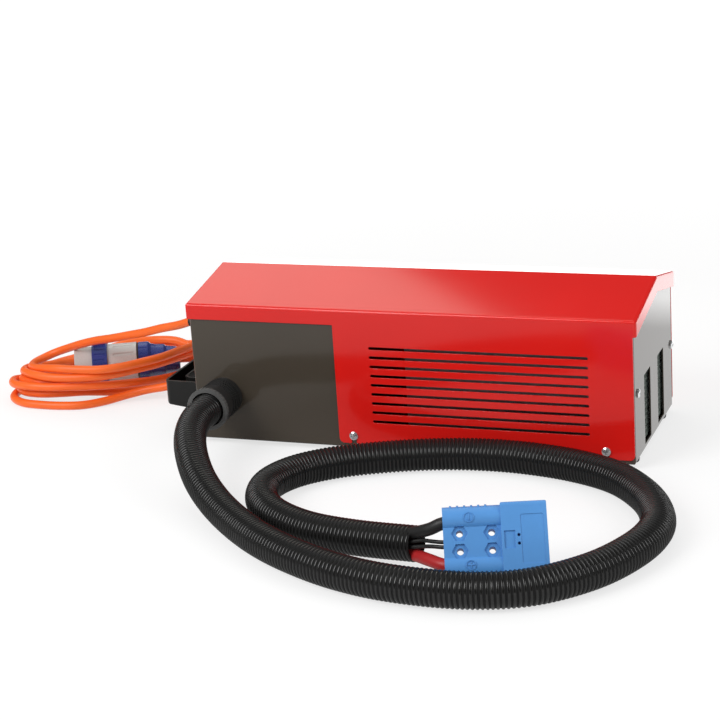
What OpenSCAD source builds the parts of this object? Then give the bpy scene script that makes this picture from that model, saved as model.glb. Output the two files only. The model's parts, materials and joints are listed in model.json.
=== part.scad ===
/* [Enclosure] */
// Length of the folded cover, over its end lips
cover_len = 523; // [500:1:560]
// Depth of the cover from front wall to rear wall
cover_depth = 204; // [202:1:230]
// Height of the eaves above the chassis floor
eave_height = 162.5; // [156:0.5:180]
// Rise of the roof from the eaves to the ridge
roof_rise = 20; // [12:1:28]
// Depth of the lip along the eaves and both gable ends
lip_depth = 18; // [14:1:20]
// Thickness of the folded steel sheet
sheet = 1.5; // [1.2:0.1:2]
// Length of the bare grey panel left of the front wall
cable_panel_len = 176; // [150:0.5:180]

/* [Vents] */
// Number of slots in the front wall
slot_count = 9; // [5:1:9]
// Length of each front slot
slot_len = 249; // [180:1:250]
// Width of each front slot
slot_width = 3.3; // [2.5:0.1:4]
// Distance from one front slot to the next
slot_pitch = 10.76; // [9:0.01:11]
// Width of each air opening in the right end
air_slot_width = 32; // [20:1:34]
// Height of each air opening in the right end
air_slot_height = 80; // [60:1:84]
// Number of blades on the fan
blade_count = 7; // [5:1:9]

/* [Feet and handle] */
// Height of the rubber feet
foot_height = 5.5; // [5:0.5:12]
// Diameter of the rubber feet
foot_diameter = 18; // [16:1:24]
// How far the bow handle stands out from the cover
handle_out = 50.5; // [44:0.5:56]
// Width of the bow handle from leg to leg
handle_width = 142; // [120:1:150]
// Height of the handle's section at its grip
handle_height = 28.5; // [22:0.5:32]

/* [Output hose and leads] */
// Outer diameter of the corrugated hose
hose_diameter = 36; // [34:1:36]
// Diameter of the red and black output leads
lead_diameter = 12.4; // [10:0.1:12.4]
// Diameter of the two pilot wires
pilot_diameter = 4; // [3:0.1:4.2]

/* [Mains lead and plug] */
// Diameter of the orange mains cable
cable_diameter = 10.4; // [9:0.1:10.4]
// Radius of the ring on the mains plug
plug_ring_r = 29; // [27:0.5:29]
// Height of the coil of mains cable
coil_height = 50; // [40:1:56]

/* [Hidden] */
$fn = 48;

// The floor is z = 0, and the origin is within 3 mm of the middle of the box and its handle
front_y = -cover_depth / 2;
rear_y = cover_depth / 2;
cover_x0 = -(cover_len - handle_out) / 2 - 2.75;
cover_x1 = cover_x0 + cover_len;
chassis_x0 = cover_x0 + 3.5;
chassis_x1 = cover_x1 - 4;
chassis_y0 = front_y + sheet;
chassis_y1 = rear_y - sheet;
floor_z = foot_height;
floor_top = floor_z + sheet;
eave_z = floor_z + eave_height;
ridge_y = 8;
ridge_z = eave_z + roof_rise;
lip_z = eave_z - lip_depth;
wall_bottom_z = floor_z + 5.8;
bend_r = 3.5;
end_gap_under_roof = 6;
flange_z = floor_z + 24.5;
return_flange = 12;
panel_end_x = chassis_x0 + cable_panel_len;
far = 400;

// Cover screws through open slots in both walls, and screws in the right end
cover_screw_x = [panel_end_x + 17.5, chassis_x1 - 31.3];
cover_screw_z = floor_z + 14.9;
screw_slot_width = 6;
end_screw_y = [-82.5, 94];
end_screw_z = floor_z + 76.5;
m5_r = 2.5;
m4_r = 2;
hole_gap = 0.15;

// Front slots
first_slot_z = floor_z + 33.2;
slot_x0 = panel_end_x + 41.5;

// Air openings, fan plate and fan in the right end
fan_y = 1;
fan_z = floor_z + 46.5;
fan_size = 80;
fan_depth = 25;
fan_bore_r = 38;
fan_screw_offset = 35.75;
blade_camber_r = 38;
air_web = 38;
plate_x = chassis_x1 - sheet - 4.5;
fan_x1 = plate_x - sheet;
fan_x0 = fan_x1 - fan_depth;
plate_y = [-70, 84];
plate_z = [floor_z + 7.5, floor_z + 92.5];
mesh_y = [-62, 81.4];
mesh_pitch = 7.4;

// Power module on its finned heat sink
module_x = [14, 226];
module_y = [-74, 80];
sink_plate_z = 40;
sink_top_z = 44;
module_top_z = 134;
fin_pitch = 11;
module_foot = 12;
stud_y = [-50, -22];
stud_z = 92;
terminal_at = [-190, -22];
earth_at = [-150, -40];
earth_r = 3;

// Feet
foot_x = [chassis_x0 + 10.5, chassis_x1 - 10.5];
foot_y = [-72, 72];

// Handle on the left end
handle_x0 = cover_x0 - handle_out;
handle_z1 = floor_z + 57.5;
handle_z0 = handle_z1 - handle_height;
handle_root_z = handle_z0 - 7;
handle_bar = 20;
handle_leg = 19;
handle_wall = 3;
handle_root = 12;
handle_screw_y = (handle_width - handle_leg) / 2;
handle_screw_z = handle_z0 + 12;

// Hose gland in the front panel
hose_gland_x = chassis_x0 + 36.5;
hose_gland_z = floor_z + 53.5;
hose_seat_y = -122;
barrel_end_y = -138;
ring_y = [-150, -134];
ring_r = 24.6;
hose_barrel_r = 22;
hose_spigot_r = 19.8;

// Mains gland in the left end
mains_gland_z = floor_z + 114.5;
mains_seat_x = -250;
mains_mouth_x = -262;
cable_bore_r = 5.4;

// Route of the hose: out of the gland, down to the floor, one loop round and back inside it
hose_route = [
    [-199, -122, 59], [-199, -152, 59], [-199, -180, 57], [-191, -214, 52], [-174, -250, 44],
    [-149, -288, 34], [-119, -322, 25], [-82, -357, 19], [-35, -398, 18], [15, -431, 18],
    [70, -457, 18], [130, -472, 18], [200, -473, 18], [258, -454, 18], [305, -408, 18],
    [332, -352, 18], [340, -298, 18], [332, -245, 18], [310, -198, 18], [272, -158, 18],
    [222, -136, 18], [165, -127, 18], [110, -129, 18], [60, -138, 18], [10, -156, 18],
    [-37, -182, 18], [-70, -216, 18], [-83, -258, 18], [-72, -300, 18], [-42, -336, 18],
    [4, -363, 18], [62, -382, 21], [128, -396, 26]
];
hose_end = hose_route[len(hose_route) - 1];
hose_end_way = unit(hose_end - hose_route[len(hose_route) - 2]);
hose_mouth_depth = 45;
hose_mouth_r = 15;

// Routes of the leads, from inside the hose's cut end into the connector
black_route = [
    [84, -387, 29], [112, -393, 32], [134.5, -402, 41.1], [148.8, -407.5, 47.7],
    [161.8, -407.9, 54.5], [177.9, -402.5, 56.6]
];
red_route = [
    [84, -387, 16], [112, -394, 17], [133.2, -405, 17.7], [150.7, -418, 19.9],
    [168.3, -427.1, 20.4], [185.1, -423.6, 20]
];
upper_pilot_route = [
    [85, -396, 25], [112, -401, 27], [138.9, -407, 34.7], [151.9, -412.5, 37.2],
    [164.3, -415.3, 38.5], [179.9, -411.4, 39.3]
];
lower_pilot_route = [
    [85, -396, 21], [112, -402, 23], [139.6, -410, 29.8], [152.4, -415, 33.1],
    [165.1, -417.7, 34.5], [180.7, -413.8, 35.3]
];

// Connector: its origin is the middle of the cable end, and it leans back on one long edge
connector_at = [164.7, -416.5, 36.5];
connector_yaw = 18.7;
connector_lean = 32;
barrel_r = 12.2;
barrel_z = 23.3;
web_half = 8.5;
head_x = 55;
connector_len = 98.7;
head_half_height = 36.5;
head_half_depth = 13;
bolt_x = [15.5, 46];
bolt_z = 8.5;
bolt_r = 3.3;
bolt_recess_r = 7.9;
pocket_x = [57.5, 67.9];
pocket_half = 8.4;
pin_hole_x = 71.3;
pin_hole_z = 4;
recess_x = [73.6, 95.5];
recess_half = 23.5;
lead_depth = 16;
lead_mouth_r = 9.8;
socket_r = 9;
contact_r = 6.2;

// Route of the mains cable from its gland to the top of the coil
cable_route = [
    [-250, 0, 120], [-264, 0.5, 119.5], [-303, 9, 107], [-356, 20, 92], [-409, 33, 78],
    [-461, 47, 64], [-490, 55, 54.5], [-511, 55, 49], [-527, 40, 46]
];
coil_ends = [[-470, 60], [-420, 150]];
coil_outer_r = 92;
coil_inner_r = 57;

// Plug: its origin is the middle of the mating face, and it lies on its ring
plug_at = [-477, 56, plug_ring_r + 0.1];
plug_yaw = 24.5;
shroud_r = 25;
plug_body_r = 26;
ring_x0 = 22.4;
body_x0 = 41.6;
body_x1 = 78.6;
tail_x0 = 81;
plug_len = 132;
tail_end_r = 14;

function unit(v) = v / norm(v);

// Place of the screw beside each corner of the heat sink
function module_screw_at(x, y) = [
    x == module_x[0] ? x + 20 : x - 20,
    y == module_y[0] ? y - module_foot / 2 : y + module_foot / 2,
    floor_top
];

// Height of the outside of the roof at a given depth
function roof_z(y) = y < ridge_y
    ? eave_z + roof_rise * (y - front_y) / (ridge_y - front_y)
    : eave_z + roof_rise * (rear_y - y) / (rear_y - ridge_y);

// Cambered section of one blade, its tangent turning from steep at the inlet to shallow
function blade_point(radius, slope) = [
    radius * cos(slope) - blade_camber_r * cos(60) - 8,
    blade_camber_r * sin(60) - radius * sin(slope) + 5
];
function blade_section(steps = 8) = concat(
    [for (i = [0 : steps]) blade_point(blade_camber_r + 0.8, 60 - 35 * i / steps)],
    [for (i = [steps : -1 : 0]) blade_point(blade_camber_r - 0.8, 60 - 35 * i / steps)]
);

// An arc of radius r in place of the corner of an outline
function arc_corner(before, corner, after, r) = let(
    u = unit(before - corner),
    v = unit(after - corner),
    half = acos(u * v) / 2,
    centre = corner + unit(u + v) * r / sin(half),
    from = corner + u * r / tan(half) - centre,
    to = corner + v * r / tan(half) - centre,
    a = atan2(from.y, from.x),
    turn = atan2(from.x * to.y - from.y * to.x, from * to),
    steps = 6
) [for (i = [0 : steps]) centre + r * [cos(a + turn * i / steps), sin(a + turn * i / steps)]];

// Direction of a route at one of its points, and the ring of points round it there
function way_at(route, i) = unit(route[min(i + 1, len(route) - 1)] - route[max(i - 1, 0)]);
function ring_at(route, i, r, sides) = let(
    way = way_at(route, i),
    across = unit(cross([0, 0, 1], way)),
    up = cross(way, across)
) [
    for (k = [0 : sides - 1]) let(turn = 360 * k / sides)
        route[i] + r * (across * cos(turn) + up * sin(turn))
];

module swept_tube(route, diameter, sides) {
    count = len(route);
    points = [for (i = [0 : count - 1]) each ring_at(route, i, diameter / 2, sides)];
    walls = [
        for (i = [0 : count - 2], k = [0 : sides - 1])
            let(a = i * sides, b = a + sides, next = (k + 1) % sides)
                [a + k, b + k, b + next, a + next]
    ];
    start_cap = [for (k = [0 : sides - 1]) k];
    end_cap = [for (k = [sides - 1 : -1 : 0]) (count - 1) * sides + k];
    polyhedron(points, concat([start_cap, end_cap], walls), convexity = 10);
}

// An outline in Y and Z, drawn out along X
module along_x(x0, x1) {
    translate([x0, 0, 0]) rotate([90, 0, 90]) linear_extrude(x1 - x0) children();
}

// An outline in X and Z, drawn out along Y
module along_y(y0, y1) {
    translate([0, y1, 0]) rotate([90, 0, 0]) linear_extrude(y1 - y0) children();
}

module rod_x(x0, x1, r) {
    translate([x0, 0, 0]) rotate([0, 90, 0]) cylinder(h = x1 - x0, r = r);
}

module rod_y(y0, y1, r) {
    translate([0, y1, 0]) rotate([90, 0, 0]) cylinder(h = y1 - y0, r = r);
}

module hex_x(x0, x1, across_flats) {
    translate([x0, 0, 0]) rotate([0, 90, 0]) cylinder(h = x1 - x0, d = across_flats / cos(30), $fn = 6);
}

// A rectangle with round corners, from one corner to the other
module round_rect(x0, y0, x1, y1, r) {
    translate([x0 + r, y0]) square([x1 - x0 - 2 * r, y1 - y0]);
    translate([x0, y0 + r]) square([x1 - x0, y1 - y0 - 2 * r]);
    for (x = [x0 + r, x1 - r], y = [y0 + r, y1 - r]) translate([x, y]) circle(r);
}

// A pan head with a cross recess, its bearing face at z = 0 and its shank below
module pan_screw(shank_r, shank_len) {
    head_r = shank_r * 1.98;
    head_h = shank_r * 1.24;
    recess = shank_r * 2.1;
    difference() {
        union() {
            rotate_extrude() intersection() {
                translate([0, head_h - head_r * 1.6]) circle(head_r * 1.6);
                square([head_r, head_h]);
            }
            translate([0, 0, -shank_len]) cylinder(h = shank_len + 1, r = shank_r);
        }
        for (turn = [0, 90]) rotate([0, 0, turn])
            translate([-recess / 2, -0.55, head_h * 0.4]) cube([recess, 1.1, head_h]);
    }
}

module hex_nut(across_flats, height, bore_r) {
    difference() {
        cylinder(h = height, d = across_flats / cos(30), $fn = 6);
        translate([0, 0, -1]) cylinder(h = height + 2, r = bore_r);
    }
}

// The inside or outside of the folded tray, as a block with bends along its edges
module tray_block(inset) {
    r = bend_r - inset;
    x0 = chassis_x0 + inset;
    x1 = chassis_x1 - inset;
    y0 = chassis_y0 + inset;
    y1 = chassis_y1 - inset;
    z0 = floor_z + inset;
    intersection() {
        translate([0, 0, z0]) linear_extrude(far) round_rect(x0, y0, x1, y1, r);
        along_y(y0 - 1, y1 + 1) round_rect(x0, z0, x1, far, r);
        along_x(x0 - 1, x1 + 1) round_rect(y0, z0, y1, far, r);
    }
}

module chassis_holes() {
    for (y = end_screw_y) translate([0, y, end_screw_z])
        rod_x(chassis_x1 - 5, chassis_x1 + 5, m5_r + hole_gap);
    for (side = [-1, 1]) along_x(chassis_x1 - 5, chassis_x1 + 5)
        translate([fan_y + side * (air_web + air_slot_width) / 2, floor_z + 6.5])
            round_rect(-air_slot_width / 2, 0, air_slot_width / 2, air_slot_height, 1);
    for (x = cover_screw_x) translate([x, 0, cover_screw_z]) rod_y(-far, far, m5_r + hole_gap);
    for (x = foot_x, y = foot_y) translate([x, y, 0]) cylinder(h = 20, r = m4_r + hole_gap);
    for (x = module_x, y = module_y) translate(module_screw_at(x, y))
        cylinder(h = 20, r = m4_r + hole_gap, center = true);
    for (side = [-1, 1]) translate([0, side * handle_screw_y, handle_screw_z])
        rod_x(chassis_x0 - 5, chassis_x0 + 5, m5_r + hole_gap);
    translate([hose_gland_x, 0, hose_gland_z]) rod_y(chassis_y0 - 5, chassis_y0 + 5, 20);
    translate([0, 0, mains_gland_z]) rod_x(chassis_x0 - 5, chassis_x0 + 5, 10.2);
    translate(earth_at) cylinder(h = 20, r = earth_r + 0.1);
}

// Folded tray: floor, low flanges front and rear, the cable panel, and two ends up to the roof
module chassis() color([0.3, 0.29, 0.27]) difference() {
    intersection() {
        tray_block(0);
        along_x(chassis_x0 - 1, chassis_x1 + 1) polygon([
            [-far, 0], [-far, roof_z(front_y) - end_gap_under_roof],
            [front_y, roof_z(front_y) - end_gap_under_roof],
            [ridge_y, ridge_z - end_gap_under_roof],
            [rear_y, roof_z(rear_y) - end_gap_under_roof],
            [far, roof_z(rear_y) - end_gap_under_roof], [far, 0]
        ]);
    }
    tray_block(sheet);
    translate([panel_end_x + 20, -far, flange_z])
        cube([chassis_x1 - return_flange - panel_end_x - 20, far + chassis_y0 + 8, far]);
    translate([chassis_x0 + return_flange, chassis_y1 - 8, flange_z])
        cube([chassis_x1 - chassis_x0 - 2 * return_flange, far, far]);
    chassis_holes();
}

// The outside or inside of the cover, as a block rounded at the eaves and gable edges
module roof_block(inset) {
    r = bend_r - inset;
    y0 = front_y + inset;
    y1 = rear_y - inset;
    drop = inset / cos(atan(roof_rise / (ridge_y - front_y)));
    front_eave = [y0, roof_z(y0) - drop];
    rear_eave = [y1, roof_z(y1) - drop];
    ridge = [ridge_y, ridge_z - drop];
    front_pitch = atan2(ridge.y - front_eave.y, ridge.x - front_eave.x);
    rear_pitch = atan2(ridge.y - rear_eave.y, rear_eave.x - ridge.x);
    intersection() {
        along_x(cover_x0, cover_x1) polygon(concat(
            [[y0, 0]],
            arc_corner([y0, 0], front_eave, ridge, r),
            [ridge],
            arc_corner(ridge, rear_eave, [y1, 0], r),
            [[y1, 0]]
        ));
        translate([0, front_eave.x, front_eave.y]) rotate([front_pitch, 0, 0])
            along_y(-far, far) round_rect(cover_x0 + inset, -far, cover_x1 - inset, 0, r);
        translate([0, rear_eave.x, rear_eave.y]) rotate([-rear_pitch, 0, 0])
            along_y(-far, far) round_rect(cover_x0 + inset, -far, cover_x1 - inset, 0, r);
        linear_extrude(far) round_rect(cover_x0 + inset, y0, cover_x1 - inset, y1, r);
    }
}

// A wall below the lip, with round lower corners and open slots for its two screws
module wall_outline(x0) {
    difference() {
        union() {
            round_rect(x0, wall_bottom_z, chassis_x1, lip_z - 20, 6);
            translate([x0, lip_z - 60]) square([chassis_x1 - x0, 61]);
        }
        for (x = cover_screw_x) translate([x - screw_slot_width / 2, 0]) {
            square([screw_slot_width, cover_screw_z]);
            translate([screw_slot_width / 2, cover_screw_z]) circle(screw_slot_width / 2);
        }
    }
}

// One folded sheet: roof, lips at the gables, a slotted front wall and a plain rear wall
module cover() color([0.83, 0.16, 0.13]) {
    intersection() {
        difference() {
            roof_block(0);
            roof_block(sheet);
        }
        along_x(cover_x0 - 1, cover_x1 + 1) polygon([
            [front_y - 1, lip_z], [ridge_y, ridge_z - lip_depth], [rear_y + 1, lip_z],
            [rear_y + 1, far], [front_y - 1, far]
        ]);
    }
    along_y(front_y, front_y + sheet) difference() {
        wall_outline(panel_end_x);
        for (i = [0 : slot_count - 1]) translate([slot_x0, first_slot_z + i * slot_pitch])
            round_rect(0, -slot_width / 2, slot_len, slot_width / 2, slot_width / 2 - 0.01);
    }
    along_y(rear_y - sheet, rear_y) wall_outline(chassis_x0);
}

module cover_screws() color([0.75, 0.75, 0.77]) for (x = cover_screw_x) {
    translate([x, front_y, cover_screw_z]) rotate([90, 0, 0]) pan_screw(m5_r, 12);
    translate([x, rear_y, cover_screw_z]) rotate([-90, 0, 0]) pan_screw(m5_r, 12);
}

module end_screws() color([0.75, 0.75, 0.77]) for (y = end_screw_y)
    translate([chassis_x1, y, end_screw_z]) rotate([0, 90, 0]) pan_screw(m5_r, 9);

// Rubber feet, each recessed for its screw
module feet() color([0.1, 0.1, 0.1]) for (x = foot_x, y = foot_y) translate([x, y, 0]) difference() {
    rotate_extrude() polygon([
        [0, 0], [foot_diameter / 2 - 1.5, 0], [foot_diameter / 2 - 0.8, 0.8],
        [foot_diameter / 2, floor_z], [0, floor_z]
    ]);
    translate([0, 0, -1]) cylinder(h = 20, r = m4_r + hole_gap);
    translate([0, 0, -1]) cylinder(h = 4.5, r = 4.6);
}

module foot_screws() color([0.75, 0.75, 0.77]) for (x = foot_x, y = foot_y)
    translate([x, y, 3.5]) rotate([180, 0, 0]) pan_screw(m4_r, floor_top);

// Plan of the bow handle, inset for the channel in its top
module bow_plan(inset, root) {
    half = handle_width / 2;
    difference() {
        union() {
            round_rect(handle_x0 + inset, -half + inset, chassis_x0 - 14, half - inset, 7 - inset);
            translate([handle_x0 + 20, -half + inset])
                square([chassis_x0 - root - handle_x0 - 20, 2 * (half - inset)]);
        }
        round_rect(
            handle_x0 + handle_bar - inset, -half + handle_leg - inset,
            chassis_x0 + 20, half - handle_leg + inset, 6 + inset
        );
    }
}

// Side of the bow handle: its lower edge rounds up to the grip and drops towards the roots
module bow_side(inset) {
    corner = [handle_x0, handle_z0 + inset];
    root = [chassis_x0, handle_root_z + inset];
    polygon(concat(
        [[handle_x0, handle_z1 + 20]],
        arc_corner([handle_x0, handle_z1], corner, root, 6),
        [root, [chassis_x0, handle_z1 + 20]]
    ));
}

// Moulded bow handle: an open channel with solid roots that take the screws
module handle() color([0.08, 0.08, 0.08]) difference() {
    intersection() {
        translate([0, 0, handle_root_z]) linear_extrude(handle_z1 - handle_root_z) bow_plan(0, 0);
        along_y(-far, far) bow_side(0);
    }
    intersection() {
        translate([0, 0, handle_root_z]) linear_extrude(far) bow_plan(handle_wall, handle_root);
        along_y(-far, far) bow_side(handle_wall);
    }
    for (side = [-1, 1]) translate([0, side * handle_screw_y, handle_screw_z])
        rod_x(chassis_x0 - 10, chassis_x0 + 1, m5_r);
}

module handle_screws() color([0.75, 0.75, 0.77]) for (side = [-1, 1])
    translate([chassis_x0 + sheet, side * handle_screw_y, handle_screw_z])
        rotate([0, 90, 0]) pan_screw(m5_r, 11);

// Pressed honeycomb guard over the fan
module air_mesh() color([0.55, 0.58, 0.55]) {
    columns = 19;
    rows = 12;
    row_pitch = mesh_pitch * sin(60);
    along_x(plate_x, plate_x + sheet) difference() {
        translate([mesh_y[0], fan_z - 40]) square([mesh_y[1] - mesh_y[0], 82]);
        for (row = [0 : rows - 1], column = [0 : columns - 1 - row % 2])
            translate([
                (mesh_y[0] + mesh_y[1]) / 2 + (column - (columns - 1) / 2 + (row % 2) / 2) * mesh_pitch,
                fan_z + 1 + (row - (rows - 1) / 2) * row_pitch
            ]) rotate(30) circle(r = mesh_pitch / 2, $fn = 6);
    }
}

// Folded plate that carries the fan, with an ear at each side screwed to the end
module fan_plate() color([0.62, 0.63, 0.64]) {
    ear_z = [end_screw_z - 9, end_screw_z + 8];
    difference() {
        union() {
            along_x(fan_x1, plate_x) translate([plate_y[0], plate_z[0]])
                square([plate_y[1] - plate_y[0], plate_z[1] - plate_z[0]]);
            translate([fan_x1, plate_y[0], ear_z[0]])
                cube([chassis_x1 - sheet - fan_x1, sheet, ear_z[1] - ear_z[0]]);
            translate([fan_x1, plate_y[1] - sheet, ear_z[0]])
                cube([chassis_x1 - sheet - fan_x1, sheet, ear_z[1] - ear_z[0]]);
            translate([chassis_x1 - 2 * sheet, plate_y[0] - 22, ear_z[0]])
                cube([sheet, 22 + sheet, ear_z[1] - ear_z[0]]);
            translate([chassis_x1 - 2 * sheet, plate_y[1] - sheet, ear_z[0]])
                cube([sheet, 12.5 + sheet, ear_z[1] - ear_z[0]]);
        }
        translate([0, fan_y, fan_z]) rod_x(fan_x1 - 5, plate_x + 1, fan_bore_r);
        for (y = [-1, 1], z = [-1, 1])
            translate([0, fan_y + y * fan_screw_offset, fan_z + z * fan_screw_offset])
                rod_x(fan_x1 - 5, plate_x + 1, m4_r + hole_gap);
        for (y = end_screw_y) translate([0, y, end_screw_z])
            rod_x(chassis_x1 - 6, chassis_x1, m5_r + hole_gap);
    }
}

module on_fan() {
    translate([fan_x0, fan_y, fan_z]) rotate([0, 90, 0]) children();
}

// Moulded fan frame: two square flanges, a round duct, four arms and the motor's stator
module fan_frame() color([0.1, 0.1, 0.1]) on_fan() difference() {
    half = fan_size / 2;
    union() {
        for (z = [0, fan_depth - 4]) translate([0, 0, z]) difference() {
            linear_extrude(4) round_rect(-half, -half, half, half, 4);
            translate([0, 0, -1]) cylinder(h = 6, r = fan_bore_r);
        }
        difference() {
            cylinder(h = fan_depth, r = half);
            translate([0, 0, -1]) cylinder(h = fan_depth + 2, r = fan_bore_r);
        }
        cylinder(h = 3, r = 18);
        for (turn = [45 : 90 : 315]) rotate([0, 0, turn]) translate([15, -2.5, 0]) cube([24, 5, 3]);
        difference() {
            cylinder(h = 16, r = 14);
            translate([0, 0, 3]) cylinder(h = 20, r = 6.5);
        }
        cylinder(h = 20, r = m4_r);
    }
    for (y = [-1, 1], z = [-1, 1]) translate([y * fan_screw_offset, z * fan_screw_offset, -1])
        cylinder(h = fan_depth + 2, r = m4_r + hole_gap);
}

// Rotor: a cup over the stator, a boss that runs on the shaft, and cambered blades
module fan_rotor() color([0.12, 0.12, 0.13]) on_fan() {
    difference() {
        translate([0, 0, 4.5]) cylinder(h = 18.5, r = 18.5);
        translate([0, 0, 4]) cylinder(h = 17, r = 17);
    }
    difference() {
        translate([0, 0, 5]) cylinder(h = 16.5, r = 4.5);
        translate([0, 0, 4]) cylinder(h = 16.2, r = m4_r + 0.05);
    }
    intersection() {
        for (i = [0 : blade_count - 1]) rotate([0, 0, 360 * i / blade_count])
            along_x(16, 40) polygon(blade_section());
        translate([0, 0, 4.5]) difference() {
            cylinder(h = 19, r = fan_bore_r - 1.2);
            translate([0, 0, -1]) cylinder(h = 22, r = 17.8);
        }
    }
}

module fan_screws() color([0.75, 0.75, 0.77]) for (y = [-1, 1], z = [-1, 1])
    translate([fan_x0, fan_y + y * fan_screw_offset, fan_z + z * fan_screw_offset])
        rotate([0, -90, 0]) pan_screw(m4_r, fan_depth + sheet);

// Extruded heat sink: a plate, fins down to the floor, and a foot along each side
module heat_sink() color([0.72, 0.73, 0.74]) difference() {
    fins = floor((module_y[1] - module_y[0] - 2) / fin_pitch);
    along_x(module_x[0], module_x[1]) {
        translate([module_y[0], sink_plate_z])
            square([module_y[1] - module_y[0], sink_top_z - sink_plate_z]);
        for (i = [0 : fins]) translate([module_y[0] + i * fin_pitch, floor_top])
            square([2, sink_plate_z - floor_top + 1]);
        translate([module_y[0] - module_foot, floor_top]) square([module_foot + 1, 3]);
        translate([module_y[0] + fins * fin_pitch + 1, floor_top])
            square([module_y[1] - module_y[0] - fins * fin_pitch - 1 + module_foot, 3]);
    }
    for (x = module_x, y = module_y) translate(module_screw_at(x, y))
        cylinder(h = 20, r = m4_r + hole_gap, center = true);
}

// Folded case over the power module, open at both ends
module module_case() color([0.66, 0.67, 0.68])
    along_x(module_x[0] + sheet, module_x[1] - sheet) difference() {
        translate([module_y[0], sink_top_z])
            square([module_y[1] - module_y[0], module_top_z - sink_top_z]);
        translate([module_y[0] + sheet, sink_top_z - 1])
            square([module_y[1] - module_y[0] - 2 * sheet, module_top_z - sink_top_z + 1 - sheet]);
    }

module module_ends() color([0.6, 0.61, 0.62]) for (x = [module_x[0], module_x[1] - sheet]) {
    along_x(x, x + sheet) difference() {
        translate([module_y[0], sink_top_z])
            square([module_y[1] - module_y[0], module_top_z - sink_top_z]);
        for (i = [0 : 5]) translate([module_y[0] + 70 + i * 12, sink_top_z + 14])
            round_rect(0, 0, 5, 60, 2.4);
        if (x == module_x[0]) for (y = stud_y) translate([y, stud_z]) circle(4.15);
    }
}

module module_screws() color([0.75, 0.75, 0.77]) for (x = module_x, y = module_y)
    translate(module_screw_at(x, y) + [0, 0, 3]) pan_screw(m4_r, 4.4);

// Studs for the output leads, each with a square foot behind the end plate
module output_studs() color([0.78, 0.66, 0.38]) for (y = stud_y) translate([0, y, stud_z]) {
    rod_x(module_x[0] - 22, module_x[0] + sheet + 1, 4);
    translate([module_x[0] + sheet, -8, -8]) cube([6, 16, 16]);
}

module stud_nuts() color([0.75, 0.75, 0.77]) for (y = stud_y)
    translate([module_x[0], y, stud_z]) rotate([0, -90, 0]) hex_nut(13, 6.5, 4.05);

// Three-way terminal block, its wire entries facing the gland
module mains_terminal_block() color([0.86, 0.85, 0.8])
    translate([terminal_at.x, terminal_at.y, floor_top]) difference() {
        along_x(0, 40) polygon([[0, 0], [26, 0], [26, 10], [21, 20], [5, 20], [0, 10]]);
        for (x = [8, 20, 32]) {
            translate([x, 13, 8]) cylinder(h = 20, r = 3.2);
            translate([x, 0, 6]) rod_y(-1, 27, 2.6);
        }
        for (x = [14, 26]) translate([x - 0.6, -1, 14]) cube([1.2, 40, 10]);
    }

// Protective-earth stud on the chassis floor, with its nut
module earth_stud() color([0.78, 0.66, 0.38]) translate(earth_at) {
    translate([0, 0, floor_z - 2.5]) cylinder(h = 2.5, d = 10 / cos(30), $fn = 6);
    translate([0, 0, floor_z - 1]) cylinder(h = 22, r = earth_r);
    translate([0, 0, floor_top]) cylinder(h = 5, d = 10 / cos(30), $fn = 6);
}

module on_hose_gland() {
    translate([hose_gland_x, 0, hose_gland_z]) children();
}

// Gland body: threaded barrel on the panel, a seat for the hose, and a spigot inside
module hose_gland_body() color([0.09, 0.09, 0.09]) on_hose_gland() difference() {
    union() {
        rod_y(barrel_end_y, chassis_y0, hose_barrel_r);
        for (i = [0 : 3]) rod_y(-110 - i * 5, -107.5 - i * 5, hose_barrel_r + 0.9);
        rod_y(chassis_y0 - 1, chassis_y0 + 14, hose_spigot_r);
    }
    rod_y(-far, hose_seat_y, hose_diameter / 2 + 0.1);
    rod_y(-far, far, 15);
}

// Ring nut that closes on the hose, with a finely ridged rim
module hose_gland_ring() color([0.2, 0.2, 0.2]) on_hose_gland() difference() {
    union() {
        rod_y(ring_y[0], ring_y[0] + 5, ring_r);
        rod_y(ring_y[0] + 4, ring_y[1], ring_r - 1.4);
    }
    for (i = [0 : 35]) rotate([0, i * 10, 0]) translate([ring_r + 0.4, 0, 0])
        rod_y(ring_y[0] - 1, ring_y[0] + 6, 0.9);
    rod_y(barrel_end_y, far, hose_barrel_r + 0.05);
    rod_y(-far, far, hose_diameter / 2 + 2);
}

module hose_gland_locknut() color([0.09, 0.09, 0.09]) on_hose_gland() difference() {
    translate([0, chassis_y0 + sheet + 6, 0]) rotate([90, 0, 0])
        cylinder(h = 6, d = 50 / cos(30), $fn = 6);
    rod_y(-far, far, hose_spigot_r + 0.05);
}

module on_mains_gland() {
    translate([0, 0, mains_gland_z]) children();
}

// Mains gland body: hexagon on the panel, spigot inside, and a seat for the cable
module mains_gland_body() color([0.12, 0.12, 0.12]) on_mains_gland() difference() {
    union() {
        hex_x(chassis_x0 - 6, chassis_x0, 24);
        rod_x(mains_seat_x, chassis_x0 - 5, 9);
        rod_x(chassis_x0 - 1, chassis_x0 + 10, 10);
    }
    rod_x(-far, far, 4.2);
}

// Domed cap over the gland's collar
module mains_gland_cap() color([0.12, 0.12, 0.12]) on_mains_gland() difference() {
    union() {
        hex_x(mains_seat_x - 2, chassis_x0 - 7, 22);
        intersection() {
            translate([mains_seat_x, 0, 0]) sphere(12.2);
            rod_x(mains_mouth_x, mains_seat_x - 1, 12);
        }
    }
    rod_x(mains_seat_x, far, 9.05);
    rod_x(-far, far, cable_bore_r);
}

module mains_gland_locknut() color([0.12, 0.12, 0.12]) on_mains_gland() difference() {
    hex_x(chassis_x0 + sheet, chassis_x0 + sheet + 5, 24);
    rod_x(-far, far, 10.05);
}

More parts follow.
